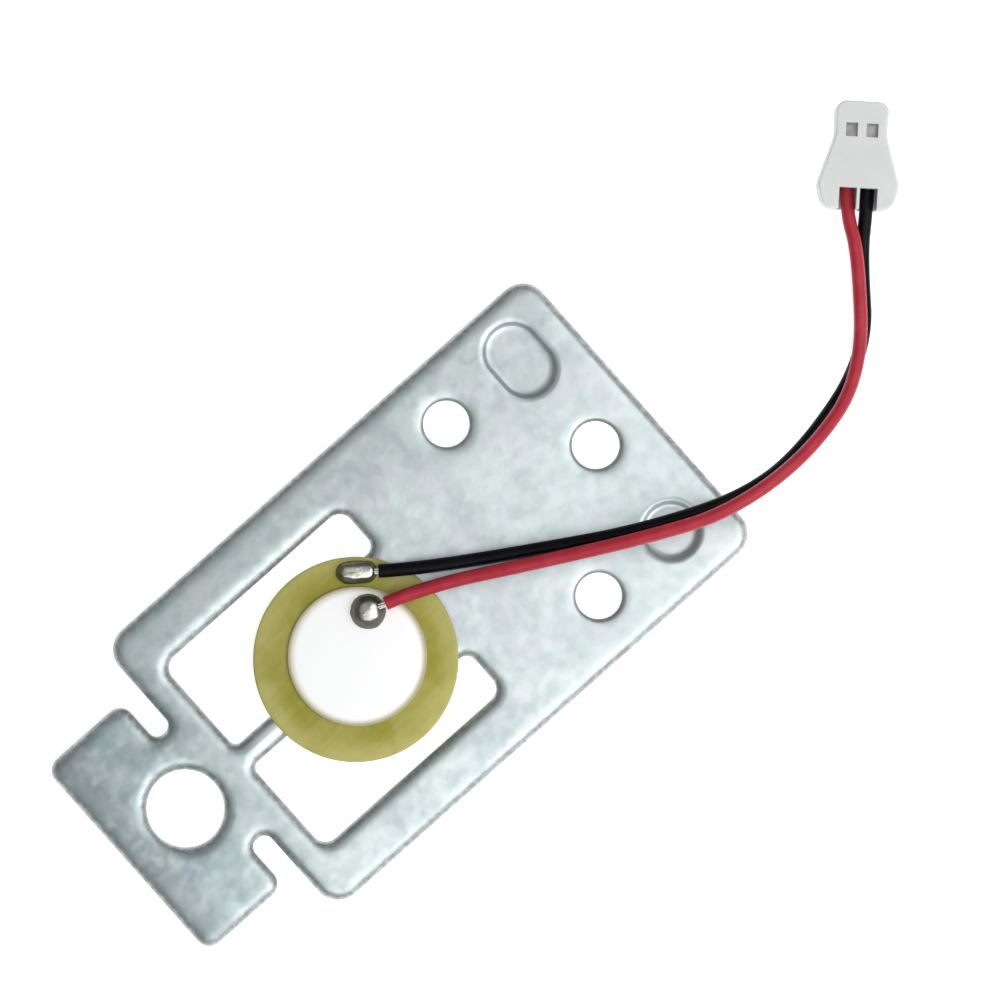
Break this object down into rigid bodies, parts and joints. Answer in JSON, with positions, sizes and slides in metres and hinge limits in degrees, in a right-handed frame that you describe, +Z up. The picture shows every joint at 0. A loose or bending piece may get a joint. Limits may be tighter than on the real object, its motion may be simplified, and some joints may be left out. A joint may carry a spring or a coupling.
{
  "type": "piezo sensor",
  "caption": "Flat stamped steel bracket with a bonded piezo disc on a slotted-out pad, and two soldered leads to a small crimp connector.",
  "frame": {"origin": "under the middle of the plate, on the surface that the bosses rest on", "axes": "+X along the plate from the holed tab to the far edge, +Z up out of the face that carries the disc"},
  "size_m": [0.0779, 0.0256, 0.0071],
  "materials": {
    "zinc_steel": "bright zinc plate on pressed sheet steel, faintly spangled, soft grey with a green-blue cast",
    "adhesive": "thin film of cured adhesive",
    "brass": "dull rolled brass, olive in the shade",
    "ceramic": "matt fired ceramic",
    "silver": "matt white fired silver",
    "solder": "shiny tin solder with a skin of flux",
    "tinned_copper": "tinned strands",
    "black_insulation": "smooth soft vinyl",
    "red_insulation": "smooth soft vinyl",
    "housing_plastic": "natural white nylon, slightly translucent",
    "terminal_metal": "tin-plated phosphor bronze"
  },
  "bodies": {
    "root": {"bracket_plate": "zinc_steel", "adhesive_film": "adhesive", "brass_disc": "brass", "ceramic_disc": "ceramic", "silver_electrode": "silver", "solder_joint_black": "solder", "solder_joint_red": "solder", "black_conductor": "tinned_copper", "red_conductor": "tinned_copper", "black_wire": "black_insulation", "red_wire": "red_insulation", "connector_housing": "housing_plastic", "crimp_terminal_black": "terminal_metal", "crimp_terminal_red": "terminal_metal"}
  },
  "joints": []
}
